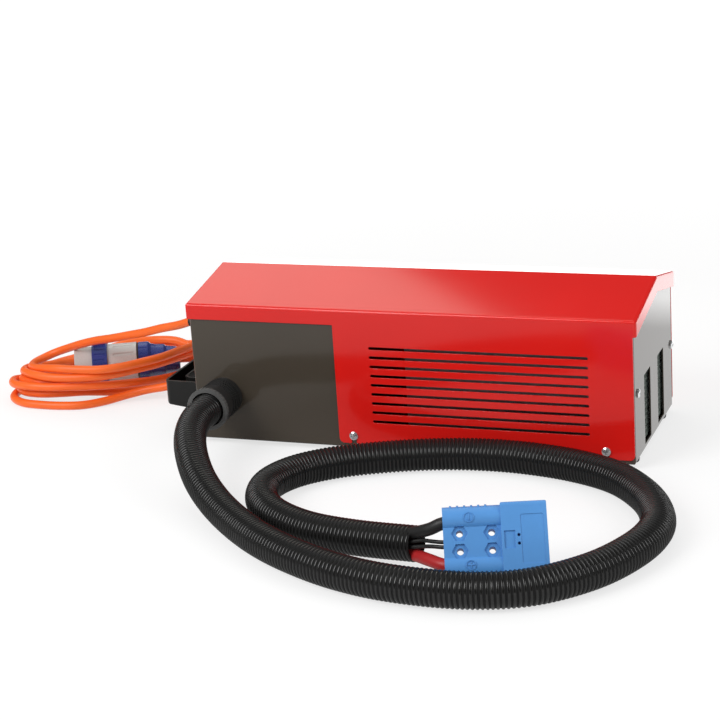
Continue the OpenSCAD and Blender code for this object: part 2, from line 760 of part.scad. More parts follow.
module output_hose() color([0.07, 0.07, 0.07]) difference() {
    swept_tube(hose_route, hose_diameter, 12);
    translate(hose_end - hose_mouth_depth * hose_end_way)
        rotate([0, acos(hose_end_way.z), atan2(hose_end_way.y, hose_end_way.x)])
            cylinder(h = 2 * hose_mouth_depth, r = hose_mouth_r);
}

module black_lead() color([0.05, 0.05, 0.05]) swept_tube(black_route, lead_diameter, 10);

module red_lead() color([0.72, 0.08, 0.08]) swept_tube(red_route, lead_diameter, 10);

module upper_pilot_wire() color([0.05, 0.05, 0.05]) swept_tube(upper_pilot_route, pilot_diameter, 8);

module lower_pilot_wire() color([0.05, 0.05, 0.05]) swept_tube(lower_pilot_route, pilot_diameter, 8);

module on_connector() {
    translate(connector_at) rotate([-connector_lean, 0, connector_yaw]) children();
}

// Moulded housing: two lead barrels on a web with four bolt holes, and a deep mating head
module connector_housing() color([0.35, 0.58, 0.86]) on_connector() difference() {
    union() {
        for (side = [-1, 1]) translate([0, 0, side * barrel_z]) {
            rod_x(0, head_x + 1, barrel_r);
            translate([0, -web_half, -(side + 1) * barrel_z / 2])
                cube([head_x + 1, 2 * web_half, barrel_z]);
        }
        for (i = [0 : 5]) intersection() {
            translate([7 + i * 6.7, 0, barrel_z]) rod_x(0, 2, barrel_r + 1.1);
            translate([0, -7, barrel_z]) cube([head_x, 14, 20]);
        }
        intersection() {
            along_x(head_x, connector_len)
                round_rect(-head_half_depth, -head_half_height, head_half_depth, head_half_height, 4);
            along_y(-20, 20) round_rect(head_x, -head_half_height, connector_len, head_half_height, 2);
        }
    }
    for (side = [-1, 1]) translate([0, 0, side * barrel_z]) {
        rod_x(-1, 62, lead_diameter / 2 + 0.1);
        rod_x(-1, 9, lead_mouth_r);
        rod_x(60, connector_len + 1, socket_r);
        translate([0, 0, -side * (barrel_z - 2.4)]) rod_x(-1, 22, pilot_diameter / 2 + 0.1);
        translate([0, 0, -side * (barrel_z - 6)]) rod_x(80, connector_len + 1, 3);
    }
    for (x = bolt_x, z = [-bolt_z, bolt_z]) translate([x, 0, z]) {
        rod_y(-20, 20, bolt_r);
        translate([0, -6.5, 0]) rotate([90, 0, 0]) cylinder(h = 12, r = bolt_recess_r, $fn = 6);
    }
    translate([pocket_x[0], -head_half_depth - 1, -pocket_half])
        cube([pocket_x[1] - pocket_x[0], 2.5, 2 * pocket_half]);
    for (z = [-pin_hole_z, pin_hole_z]) translate([pin_hole_x, 0, z])
        rod_y(-head_half_depth - 1, -6, 1.5);
    along_y(-head_half_depth - 1, -head_half_depth + 0.5)
        round_rect(recess_x[0], -recess_half, recess_x[1], recess_half, 2);
}

// Main contacts on the ends of the leads, and the two pilot contacts
module connector_contacts() color([0.8, 0.8, 0.78]) on_connector() for (side = [-1, 1]) {
    translate([0, 0, side * barrel_z]) {
        rod_x(lead_depth, 88, contact_r);
        translate([88, 0, 0]) sphere(contact_r);
    }
    translate([0, 0, side * 6]) rod_x(80, 96, 1.4);
}

module mains_cable() color([0.96, 0.4, 0.14]) swept_tube(cable_route, cable_diameter, 10);

module coil_outline(r) {
    run = coil_ends[1] - coil_ends[0];
    a = atan2(run.y, run.x);
    polygon(concat(
        [for (t = [90 : 15 : 270]) coil_ends[0] + r * [cos(a + t), sin(a + t)]],
        [for (t = [-90 : 15 : 90]) coil_ends[1] + r * [cos(a + t), sin(a + t)]]
    ));
}

module on_plug() {
    translate(plug_at) rotate([0, 0, plug_yaw]) children();
}

// Oval coil of the mains cable, with a channel for the plug that lies in it
module mains_coil() color([0.96, 0.4, 0.14]) difference() {
    body_gap = plug_body_r + 0.8;
    tail_gap = tail_end_r + 5;
    linear_extrude(coil_height) difference() {
        coil_outline(coil_outer_r);
        coil_outline(coil_inner_r);
    }
    translate([0, 0, -plug_at.z - 1]) on_plug() linear_extrude(coil_height + 2) polygon([
        [body_x0, -body_gap], [tail_x0, -body_gap], [plug_len, -tail_gap],
        [plug_len, tail_gap], [tail_x0, body_gap], [body_x0, body_gap]
    ]);
}

// Round shroud round the pins, with a keyway along its lower side
module plug_shroud() color([0.8, 0.81, 0.82]) on_plug() difference() {
    union() {
        rod_x(0, ring_x0, shroud_r);
        rod_x(ring_x0 - 1, body_x0, shroud_r - 2);
    }
    rod_x(-1, 30, shroud_r - 3);
    translate([-1, -3, -shroud_r + 1.5]) cube([20, 6, 3]);
}

// Turned ring with fine grips and one raised block
module plug_ring() color([0.2, 0.25, 0.55]) on_plug() difference() {
    union() {
        rod_x(ring_x0, body_x0, plug_ring_r);
        translate([ring_x0 + 2, -7, plug_ring_r - 4]) cube([15, 14, 8]);
    }
    rod_x(ring_x0 - 1, body_x0 + 1, shroud_r - 1.95);
    for (i = [0 : 23]) if (i != 0 && i != 1 && i != 23 && i != 12) rotate([i * 15, 0, 0])
        translate([0, 0, plug_ring_r + 0.8]) rod_x(ring_x0 + 3, body_x0 - 3, 1.5);
}

// Body behind the ring, with flats for the hand
module plug_body() color([0.8, 0.81, 0.82]) on_plug() difference() {
    rod_x(body_x0, body_x1, plug_body_r);
    for (i = [0 : 11]) rotate([i * 30 + 15, 0, 0]) translate([0, 0, plug_body_r + 1.4])
        rod_x(body_x0 + 8, body_x1 - 4, 2.4);
    rod_x(body_x0 + 10, body_x1 + 1, 12);
}

module plug_seal() color([0.1, 0.1, 0.12]) on_plug() difference() {
    rod_x(body_x1, tail_x0, plug_body_r - 1);
    rod_x(0, plug_len, 12);
}

// Clamping tail, tapering to the cable
module plug_tail() color([0.2, 0.25, 0.55]) on_plug()
    translate([tail_x0, 0, 0]) rotate([0, 90, 0]) difference() {
        tail_len = plug_len - tail_x0;
        rotate_extrude() polygon([
            [cable_bore_r, 2], [12, 2], [12, 0], [plug_body_r - 0.5, 0], [plug_body_r - 0.5, 12],
            [22.5, 16], [21, 22], [20.5, 32], [18, 35], [16.5, 46], [tail_end_r, tail_len],
            [cable_bore_r, tail_len]
        ]);
        for (i = [0 : 11]) rotate([0, 0, i * 30]) translate([plug_body_r + 1.2, 0, -1])
            cylinder(h = 12, r = 2.4);
    }

module plug_core() color([0.15, 0.17, 0.3]) on_plug() rod_x(22, 30, shroud_r - 3.05);

module plug_pins() color([0.8, 0.78, 0.7]) on_plug() for (turn = [0, 120, 240]) rotate([turn, 0, 0])
    translate([0, 0, -11]) {
        pin_r = turn == 0 ? 3.4 : 2.5;
        rod_x(4, 22, pin_r);
        translate([4, 0, 0]) sphere(pin_r);
    }

chassis();
cover();
cover_screws();
end_screws();
feet();
foot_screws();
handle();
handle_screws();
air_mesh();
fan_plate();
fan_frame();
fan_rotor();
fan_screws();
heat_sink();
module_case();
module_ends();
module_screws();
output_studs();
stud_nuts();
mains_terminal_block();
earth_stud();
hose_gland_body();
hose_gland_ring();
hose_gland_locknut();
mains_gland_body();
mains_gland_cap();
mains_gland_locknut();
output_hose();
black_lead();
red_lead();
upper_pilot_wire();
lower_pilot_wire();
connector_housing();
connector_contacts();
mains_cable();
mains_coil();
plug_shroud();
plug_ring();
plug_body();
plug_seal();
plug_tail();
plug_core();
plug_pins();
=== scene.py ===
import bisect
import json
import math

import bmesh
import bpy
from mathutils import Matrix, Vector


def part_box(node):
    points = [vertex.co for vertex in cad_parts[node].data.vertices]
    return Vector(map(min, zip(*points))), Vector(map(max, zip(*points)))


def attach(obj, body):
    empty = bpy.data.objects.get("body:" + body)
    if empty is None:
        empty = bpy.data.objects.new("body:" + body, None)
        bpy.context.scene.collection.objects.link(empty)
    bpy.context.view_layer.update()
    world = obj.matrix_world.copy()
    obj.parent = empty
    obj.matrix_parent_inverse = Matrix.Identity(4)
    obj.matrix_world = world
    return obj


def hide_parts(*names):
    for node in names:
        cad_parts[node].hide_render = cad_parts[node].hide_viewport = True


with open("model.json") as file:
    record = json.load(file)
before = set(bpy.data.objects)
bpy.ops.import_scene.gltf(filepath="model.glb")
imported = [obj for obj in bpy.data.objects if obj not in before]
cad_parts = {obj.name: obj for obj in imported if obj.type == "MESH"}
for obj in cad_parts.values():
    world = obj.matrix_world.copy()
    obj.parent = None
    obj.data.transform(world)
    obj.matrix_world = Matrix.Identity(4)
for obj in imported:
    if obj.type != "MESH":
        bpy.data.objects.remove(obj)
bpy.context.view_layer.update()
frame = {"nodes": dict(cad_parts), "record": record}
nodes = frame["nodes"]

# PICTURE
# The charger stands on a white sweep, between soft boxes and in front of a slanted card of light.
# The camera is a long lens at the front right, and looks down on the box a little.
camera = bpy.data.objects.new("camera", bpy.data.cameras.new("camera"))
bpy.context.scene.collection.objects.link(camera)
bpy.context.scene.camera = camera
camera.location = (0.719752, -2.047058, 0.768340)
camera.rotation_euler = (1.264592, 0.0633922, 0.3472843)
camera.data.lens = 98.11
camera.data.sensor_width = 36
camera.data.clip_start = 0.05
bpy.context.scene.view_settings.view_transform = "Standard"

middle = Vector((0, -0.1, 0.1))
for name, place, size, power in (
    ("front_box", (-1.5, -2.2, 2.1), 1.8, 60),
    ("right_box", (2.5, -0.5, 1.5), 1.4, 22),
    ("top_box", (-0.2, 0.5, 2.6), 1.9, 6),
):
    lamp = bpy.data.objects.new(name, bpy.data.lights.new(name, "AREA"))
    bpy.context.scene.collection.objects.link(lamp)
    lamp.location = place
    lamp.rotation_euler = (middle - lamp.location).to_track_quat("-Z", "Y").to_euler()
    lamp.data.shape = "SQUARE"
    lamp.data.size = size
    lamp.data.energy = power

# The roof mirrors this card, so that it is pale up to the card's slanted edge and deep red beyond
card = bpy.data.objects.new("back_card", bpy.data.lights.new("back_card", "AREA"))
bpy.context.scene.collection.objects.link(card)
card.location = (-1.34, 2.0, 2.288)
card.rotation_euler = (-math.pi / 2, -0.658, 0)
card.data.shape = "RECTANGLE"
card.data.size = 2.0
card.data.size_y = 1.6
card.data.energy = 14
card.data.color = (1, 0.99, 0.89)


def add_node(tree, kind, inputs=(), **settings):
    """A shader node whose inputs are linked from sockets or set to values."""
    node = tree.nodes.new("ShaderNode" + kind)
    for label, value in settings.items():
        setattr(node, label, value)
    for socket, value in dict(inputs).items():
        if isinstance(value, bpy.types.NodeSocket):
            tree.links.new(value, node.inputs[socket])
        else:
            node.inputs[socket].default_value = value
    return node


def maths(tree, operation, *terms):
    """The result of a Math node whose terms are sockets or numbers."""
    return add_node(tree, "Math", enumerate(terms), operation=operation).outputs[0]


# The room is white to the camera, half as strong as light on the charger, and dim where it mirrors
shown_room, lit_room, mirrored_room = 1, 0.5, 0.1
world = bpy.data.worlds.new("studio")
bpy.context.scene.world = world
world.use_nodes = True
room = world.node_tree
sky = room.nodes["Background"]
sky.inputs["Color"].default_value = (1, 1, 1, 1)
paths = add_node(room, "LightPath").outputs
unseen = maths(room, "MULTIPLY_ADD", paths["Is Glossy Ray"], mirrored_room - lit_room, lit_room)
level = maths(room, "MULTIPLY_ADD", paths["Is Camera Ray"], shown_room - lit_room, unseen)
room.links.new(level, sky.inputs["Strength"])

bpy.ops.object.select_all(action="DESELECT")
bpy.ops.mesh.primitive_plane_add(size=14, location=(0, 0, 0))
floor = bpy.context.object
floor.name = "floor"
paper = bpy.data.materials.new("white_paper")
floor.data.materials.append(paper)
paper.use_nodes = True
tree = paper.node_tree
shader = tree.nodes["Principled BSDF"]
shader.inputs["Roughness"].default_value = 0.9
shader.inputs["Specular IOR Level"].default_value = 0.1
place = add_node(tree, "TexCoord").outputs["Object"]
paths = add_node(tree, "LightPath").outputs
fibre = add_node(tree, "TexNoise", {"Vector": place, "Scale": 300}).outputs["Fac"]
tint = add_node(tree, "MapRange", {"Value": fibre, "To Min": 0.80, "To Max": 0.84}).outputs[0]
tree.links.new(tint, shader.inputs["Base Color"])
# To the camera the sweep is part paper, which takes the shadow, and part plain white. From 0.7 m out
# the white takes over, and from 2.2 m out there is nothing else.
reach = add_node(tree, "VectorMath", {0: place}, operation="LENGTH").outputs["Value"]
fade = add_node(tree, "MapRange", {"Value": reach, "From Min": 0.7, "From Max": 2.2, "To Min": 0.62})
shown = maths(tree, "MULTIPLY", fade.outputs[0], paths["Is Camera Ray"])
# To what mirrors it, the sweep glows as a painted reflection: dim in front, darkest by the box's front wall
# as painted shade, brighter under and behind the box, and white far behind. The stops of this ramp run from
# y = -1 m to y = 1 m.
depth = add_node(tree, "SeparateXYZ", {0: place}).outputs["Y"]
along = add_node(tree, "MapRange", {"Value": depth, "From Min": -1}).outputs[0]
levels = add_node(tree, "ValToRGB", {0: along})
stops = levels.color_ramp.elements
stops[0].position = 0.2
stops[0].color = (0.25, 0.25, 0.25, 1)
stops[1].position = 0.78
for stop, grey in ((0.35, 0.12), (0.445, 0.09), (0.47, 0.46), (0.71, 0.46)):
    stops.new(stop).color = (grey, grey, grey, 1)
shown_white, mirrored_white, mirrored_share = 1.12, 2.6, 0.8
painted_reflection_glow = maths(tree, "MULTIPLY", levels.outputs["Color"], mirrored_white)
strength = add_node(tree, "Mix", {"Factor": paths["Is Glossy Ray"], "A": shown_white, "B": painted_reflection_glow})
share = maths(tree, "MULTIPLY_ADD", paths["Is Glossy Ray"], mirrored_share, shown)
white = add_node(tree, "Emission", {"Strength": strength.outputs["Result"]}).outputs[0]
blend = add_node(tree, "MixShader", {0: share, 1: shader.outputs[0], 2: white}).outputs[0]
tree.links.new(blend, tree.nodes["Material Output"].inputs["Surface"])


# OUTPUT HOSE
# Corrugated black nylon conduit, 36 mm outside with a rib every 4.5 mm. It leaves the gland, sinks
# to the floor, makes one loop and ends cut square inside the loop.
def through(points, steps=12):
    """A smooth line in metres through points in millimetres."""
    knots = [Vector(p) / 1000 for p in points]
    knots = [2 * knots[0] - knots[1]] + knots + [2 * knots[-1] - knots[-2]]
    line = []
    for a, b, c, d in zip(knots, knots[1:], knots[2:], knots[3:]):
        for i in range(steps):
            t = i / steps
            bend = (2 * a - 5 * b + 4 * c - d) * t * t + (3 * b - a - 3 * c + d) * t ** 3
            line.append(0.5 * (2 * b + (c - a) * t + bend))
    line.append(knots[-2])
    return line


def line_length(line):
    return sum((b - a).length for a, b in zip(line, line[1:]))


def sweep(name, line, rings, sides, smooth=50):
    """A closed tube along a line, with rings given by their distance along it and their radius."""
    along = [0]
    for a, b in zip(line, line[1:]):
        along.append(along[-1] + (b - a).length)
    mesh = bpy.data.meshes.new(name)
    work = bmesh.new()
    turns = [2 * math.pi * k / sides for k in range(sides)]
    across = None
    hoops = []
    for distance, radius in rings:
        i = min(max(bisect.bisect(along, distance), 1), len(line) - 1)
        t = (distance - along[i - 1]) / (along[i] - along[i - 1])
        centre = line[i - 1].lerp(line[i], t)
        before = line[i] - line[i - 1]
        after = line[min(i + 1, len(line) - 1)] - line[i - 1]
        way = before.normalized().lerp(after.normalized(), t).normalized()
        if across is None:
            across = way.orthogonal()
        across = (across - way * across.dot(way)).normalized()
        up = way.cross(across)
        hoops.append([
            work.verts.new(centre + radius * (across * math.cos(a) + up * math.sin(a))) for a in turns
        ])
    for a, b in zip(hoops, hoops[1:]):
        for k in range(sides):
            work.faces.new((a[k], a[(k + 1) % sides], b[(k + 1) % sides], b[k]))
    work.faces.new(hoops[0])
    work.faces.new(hoops[-1])
    bmesh.ops.recalc_face_normals(work, faces=work.faces)
    work.to_mesh(mesh)
    work.free()
    piece = bpy.data.objects.new(name, mesh)
    bpy.context.scene.collection.objects.link(piece)
    round_off(piece, smooth)
    return piece


def round_off(piece, angle):
    """Smooth shading on all but the edges sharper than an angle in degrees."""
    bpy.ops.object.select_all(action="DESELECT")
    piece.select_set(True)
    bpy.context.view_layer.objects.active = piece
    bpy.ops.object.shade_smooth_by_angle(angle=math.radians(angle))


def texture(name, *settings):
    """A new node group, its input sockets (a colour and some settings) and its Object coordinates."""
    group = bpy.data.node_groups.new(name, "ShaderNodeTree")
    group.interface.new_socket("Colour", in_out="INPUT", socket_type="NodeSocketColor")
    for label in settings:
        group.interface.new_socket(label, in_out="INPUT", socket_type="NodeSocketFloat")
    for label, kind in (("Colour", "Color"), ("Roughness", "Float"), ("Normal", "Vector")):
        group.interface.new_socket(label, in_out="OUTPUT", socket_type="NodeSocket" + kind)
    given = group.nodes.new("NodeGroupInput").outputs
    return group, given, add_node(group, "TexCoord").outputs["Object"]


def speckled(group, gloss, grain, spread):
    """A roughness that varies with the grain, by as much above the given gloss as below it."""
    return maths(group, "ADD", maths(group, "MULTIPLY_ADD", grain, spread, -spread / 2), gloss)


def put_out(group, value, colour, roughness, relief):
    """Links a group's outputs: the colour times a value, the roughness and the relief's normal."""
    tinted = add_node(group, "HueSaturation", {"Value": value, "Color": colour}).outputs[0]
    made = group.nodes.new("NodeGroupOutput").inputs
    for label, socket in (("Colour", tinted), ("Roughness", roughness), ("Normal", relief.outputs[0])):
        group.links.new(socket, made[label])


# Moulded plastic and rubber: slow mottling, a fine grain, a little drift in the gloss, soft edges
plastic, given, place = texture("moulded_plastic", "Mottle", "Gloss", "Grain", "Depth", "Edge")
cloud = add_node(plastic, "TexNoise", {"Vector": place, "Scale": 45, "Detail": 3}).outputs["Fac"]
fine = add_node(plastic, "TexNoise", {"Vector": place, "Scale": given["Grain"], "Detail": 3}).outputs["Fac"]
mottle = maths(plastic, "MULTIPLY", maths(plastic, "SUBTRACT", cloud, 0.5), given["Mottle"])
edge = add_node(plastic, "Bevel", {"Radius": given["Edge"]}, samples=4).outputs[0]
relief = add_node(plastic, "Bump", {
    "Height": fine, "Strength": given["Depth"], "Normal": edge, "Distance": 0.0003
})
put_out(
    plastic, maths(plastic, "ADD", mottle, 1), given["Colour"],
    speckled(plastic, given["Gloss"], fine, 0.16), relief
)


def finish(name, group, values, shader_values=()):
    """A material whose colour, roughness and normal come from a texture group."""
    material = bpy.data.materials.new(name)
    material.use_nodes = True
    tree = material.node_tree
    shader = tree.nodes["Principled BSDF"]
    look = tree.nodes.new("ShaderNodeGroup")
    look.node_tree = group
    for socket, value in values.items():
        look.inputs[socket].default_value = (*value, 1) if isinstance(value, tuple) else value
    tree.links.new(look.outputs["Colour"], shader.inputs["Base Color"])
    tree.links.new(look.outputs["Roughness"], shader.inputs["Roughness"])
    tree.links.new(look.outputs["Normal"], shader.inputs["Normal"])
    for socket, value in dict(shader_values).items():
        shader.inputs[socket].default_value = value
    return material


def wear(piece, material):
    """One material all over a piece or CAD node."""
    piece.data.materials.clear()
    piece.data.materials.append(material)


hose_route = [
    (-199, -122, 59), (-199, -152, 59), (-199, -180, 57), (-191, -214, 52), (-174, -250, 44),
    (-149, -288, 34), (-119, -322, 25), (-82, -357, 19), (-35, -398, 18), (15, -431, 18),
    (70, -457, 18), (130, -472, 18), (200, -473, 18), (258, -454, 18), (305, -408, 18),
    (333, -352, 18), (343, -300, 18), (335, -256, 18), (312, -211, 18), (274, -169, 18),
    (223, -143, 18), (165, -130, 18), (110, -129, 18), (60, -138, 18), (10, -156, 18),
    (-37, -182, 18), (-70, -216, 18), (-83, -258, 18), (-72, -300, 18), (-42, -336, 18),
    (4, -363, 18), (62, -382, 21), (132, -397, 26.3),
]
hose_line = through(hose_route)
hose_length = line_length(hose_line)
rib_pitch = 0.00455
crest_r, valley_r, mouth_r, mouth_depth = 0.018, 0.0168, 0.0152, 0.049
hose_rings = []
for i in range(int(hose_length / rib_pitch)):
    start = i * rib_pitch
    for part, height in ((0.16, 0), (0.28, 0.75), (0.42, 1), (0.58, 1), (0.72, 0.75), (0.84, 0)):
        hose_rings.append((start + part * rib_pitch, valley_r + height * (crest_r - valley_r)))
# It is cut just past its last rib, and the bore behind the mouth is rippled and closed
lip, ripple, ripple_rings = 0.0006, 0.0005, 11
cut = hose_rings[-1][0] + lip
hose_rings += [(cut, valley_r), (cut, mouth_r)]
for i in range(1, ripple_rings + 1):
    hose_rings.append((cut - mouth_depth * i / ripple_rings, mouth_r + (ripple if i % 2 else 0)))
hose_sides = 30
output_hose = sweep("corrugated_hose", hose_line, hose_rings, hose_sides)
conduit = finish("black_nylon_conduit", plastic, {
    "Mottle": 0.5, "Grain": 900.0, "Depth": 0.03
}, {"Specular IOR Level": 0.65})
# The grooves are dull, and their colour is darkened as painted shade; the crests are polished
groove = output_hose.data.attributes.new("groove", "FLOAT", "POINT")
for i, (_, radius) in enumerate(hose_rings):
    height = (radius - valley_r) / (crest_r - valley_r)
    for k in range(hose_sides):
        groove.data[i * hose_sides + k].value = 1 - min(max(height, 0), 1)
tree = conduit.node_tree
look = next(node for node in tree.nodes if node.type == "GROUP")
groove_mask = add_node(tree, "Attribute", attribute_name="groove").outputs["Fac"]
dulled = add_node(tree, "MapRange", {"Value": groove_mask, "To Min": 0.17, "To Max": 0.8})
# Painted shade: the colour falls from 0.006 on the crests to 0.0015 deep in the grooves
painted_groove_shade = add_node(tree, "ValToRGB", {"Fac": groove_mask})
painted_groove_shade.color_ramp.elements[0].color = (0.006, 0.0057, 0.0052, 1)
painted_groove_shade.color_ramp.elements[1].color = (0.0015, 0.0015, 0.0015, 1)
tree.links.new(dulled.outputs[0], look.inputs["Gloss"])
tree.links.new(painted_groove_shade.outputs["Color"], look.inputs["Colour"])
wear(output_hose, conduit)
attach(output_hose, "charger")
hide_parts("output_hose")

# OUTPUT LEADS
# Two stranded main leads in thick soft jackets, one black and one red, and two thin pilot wires.
# They come out of the hose's mouth, spread, and go into the back of the connector.
lead_routes = {
    "black_main_lead": ("black_lead", 12.4, [
        (84, -387, 29), (112, -393, 32), (134.5, -402, 41.1), (148.8, -407.5, 47.7),
        (161.8, -407.9, 54.5), (177.9, -402.5, 56.6)]),
    "red_main_lead": ("red_lead", 12.4, [
        (84, -387, 16), (112, -394, 17), (133.2, -405, 17.7), (150.7, -418, 19.9),
        (168.3, -427.1, 20.4), (185.1, -423.6, 20)]),
    "upper_pilot": ("upper_pilot_wire", 4, [
        (85, -396, 25), (112, -401, 27), (138.9, -407, 34.7), (151.9, -412.5, 37.2),
        (164.3, -415.3, 38.5), (179.9, -411.4, 39.3)]),
    "lower_pilot": ("lower_pilot_wire", 4, [
        (85, -396, 21), (112, -402, 23), (139.6, -410, 29.8), (152.4, -415, 33.1),
        (165.1, -417.7, 34.5), (180.7, -413.8, 35.3)]),
}


def even_rings(length, step, radius):
    """Rings of one radius, evenly spaced over a length."""
    count = int(length / step)
    return [(length * i / count, radius) for i in range(count + 1)]


black_jacket = finish("black_soft_jacket", plastic, {
    "Colour": (0.014, 0.014, 0.014), "Mottle": 0.6, "Gloss": 0.46, "Grain": 1400.0, "Depth": 0.12
})
red_jacket = finish("red_soft_jacket", plastic, {
    "Colour": (0.48, 0.018, 0.02), "Mottle": 0.35, "Gloss": 0.42, "Grain": 1400.0, "Depth": 0.12
})
for name, (node, diameter, route) in lead_routes.items():
    line = through(route)
    reach = line_length(line)
    rings = even_rings(reach, step=0.0025, radius=diameter / 2000)
    lead = sweep(name, line, rings, 32 if diameter > 10 else 16)
    wear(lead, red_jacket if node == "red_lead" else black_jacket)
    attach(lead, "charger")
    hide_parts(node)

# MAINS CABLE
# Orange three-core flexible cable, 10.4 mm, with a smooth soft jacket. It droops from the gland in
# the left end and winds down in six loose turns round its plug, to the plug's tail.
mains_route = [
    (-250, 0, 120), (-277, 3, 116), (-303, 9, 107), (-330, 14, 100), (-356, 20, 92), (-382, 27, 85),
    (-409, 33, 78), (-435, 39, 72), (-461, 46, 64), (-487, 56, 54), (-505, 56, 47.5), (-518, 46, 42.5),
    (-522, 31, 41), (-517, 16, 41.5), (-505, 4.5, 43.5), (-488, -5, 47), (-465, -12, 50),
    (-437, -12, 50), (-410, -8, 50), (-385, 4, 51),
    (-365, 24, 52), (-349, 47, 52), (-339, 73, 52), (-333, 99, 50), (-331, 126, 46), (-335, 152, 37),
    (-345, 175, 29), (-363, 195, 23), (-387, 205, 18), (-413, 204, 15), (-438, 193, 15), (-459, 177, 14),
    (-476, 156, 15), (-492, 133, 17), (-508, 110, 19), (-520, 86, 23), (-529, 60, 27), (-531, 33, 34),
    (-524, 7, 38), (-502, -10, 40), (-475, -16, 39.5), (-447, -14, 39.5), (-420, -7, 40), (-396, 8, 40),
    (-376, 28, 41), (-360, 50, 41), (-347, 75, 41), (-338, 101, 40), (-334, 127, 35), (-335, 153, 26),
    (-343, 178, 19), (-359, 200, 15), (-381, 214, 14), (-408, 217, 14), (-435, 210, 14.5), (-459, 197, 14.5),
    (-480, 179, 14.5), (-499, 159, 15), (-515, 137, 16), (-528, 112, 17), (-536, 85, 19), (-542, 58, 23),
    (-536, 31, 25), (-526, 6, 27), (-502, -7, 29), (-475, -6, 29), (-448, 4, 29), (-424, 18, 31),
    (-402, 35, 33), (-381, 53, 37), (-363, 74, 40), (-350, 97, 42), (-346, 123, 37), (-348, 146, 24),
    (-358, 168, 12), (-375, 187, 6), (-399, 196, 5.3), (-425, 192, 5.3), (-448, 178, 5.3), (-468, 160, 5.3),
    (-486, 139, 6), (-502, 117, 7.5), (-516, 93, 10), (-529, 69, 14), (-540, 44, 16), (-545, 17, 22),
    (-532, -7, 25), (-507, -18, 27), (-479, -18, 27), (-451, -12, 27), (-425, -2, 26), (-402, 14, 24),
    (-383, 34, 21), (-366, 56, 18), (-351, 79, 16.5), (-340, 104, 16), (-334, 131, 15), (-334, 158, 12),
    (-341, 184, 8), (-357, 205, 5.4), (-380, 220, 5.3), (-406, 225, 5.3), (-433, 220, 5.3), (-457, 208, 5.3),
    (-479, 191, 5.3), (-498, 171, 5.3), (-514, 149, 5.3), (-527, 124, 6), (-538, 98, 7), (-547, 72, 9),
    (-550, 43, 11), (-539, 17, 14), (-521, -3, 14), (-495, -10, 15), (-467, -5, 15.5), (-444, 10, 13.5),
    (-422, 27, 9), (-400, 44, 5.6), (-378, 61, 5.3), (-360, 81, 5.3), (-346, 104, 5.3), (-340, 131, 5.3),
    (-343, 157, 6), (-354, 180, 11), (-377, 191, 18), (-402, 198, 24), (-428, 196, 25), (-453, 185, 25),
    (-475, 169, 23), (-494, 149, 18), (-509, 126, 13), (-523, 102, 9.5), (-534, 77, 6), (-541, 51, 5.3),
    (-544, 23, 5.3), (-537, -3, 5.3), (-515, -20, 5.3), (-488, -24, 5.3), (-460, -23, 5.3), (-433, -16, 5.3),
    (-411, 1, 6), (-390, 19, 9), (-365, 29, 14), (-340, 30, 19), (-319, 36, 23), (-303, 51, 26),
    (-298, 72, 28), (-303, 93, 29), (-319, 109, 29.1), (-340, 115, 29.1), (-357, 110.7, 29.1),
]
mains_line = through(mains_route)
mains_length = line_length(mains_line)
cable_rings = even_rings(mains_length, step=0.0045, radius=0.0052)
mains_cable = sweep("orange_mains_cable", mains_line, cable_rings, sides=20)
wear(mains_cable, finish("orange_cable_jacket", plastic, {
    "Colour": (0.98, 0.148, 0.012), "Mottle": 0.25, "Gloss": 0.42, "Grain": 1200.0, "Depth": 0.1
}))
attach(mains_cable, "charger")
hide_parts("mains_cable", "mains_coil")

# CHASSIS
# Folded steel tray in charcoal gloss powder coat: the floor, the cable panel at the front left
# and both ends. The coat has a faint orange peel and mirrors what stands near it.
coat, given, place = texture("powder_coat", "Gloss", "Peel", "Edge")
peel = add_node(coat, "TexNoise", {"Vector": place, "Scale": 420, "Detail": 2}).outputs["Fac"]
wave = add_node(coat, "TexNoise", {"Vector": place, "Scale": 9, "Detail": 1}).outputs["Fac"]
grit = add_node(coat, "TexNoise", {"Vector": place, "Scale": 2600, "Detail": 1}).outputs["Fac"]
edge = add_node(coat, "Bevel", {"Radius": given["Edge"]}, samples=4).outputs[0]
relief = add_node(coat, "Bump", {
    "Height": peel, "Strength": given["Peel"], "Normal": edge, "Distance": 0.0002
})
put_out(
    coat, maths(coat, "MULTIPLY_ADD", wave, 0.12, 0.94), given["Colour"],
    speckled(coat, given["Gloss"], grit, 0.1), relief
)
wear(nodes["chassis"], finish("charcoal_powder_coat", coat, {
    "Colour": (0.062, 0.05, 0.0375), "Gloss": 0.11, "Peel": 0.06, "Edge": 0.0006
}, {"Specular IOR Level": 0.5}))

# COVER
# One folded sheet of steel in red gloss powder coat: the roof, its lips, a slotted front wall and
# a plain rear wall. It drops over the chassis and is held by four screws.
wear(nodes["cover"], finish("red_powder_coat", coat, {
    "Colour": (0.72, 0.012, 0.009), "Gloss": 0.1, "Peel": 0.06, "Edge": 0.0008
}, {"Specular IOR Level": 0.5}))

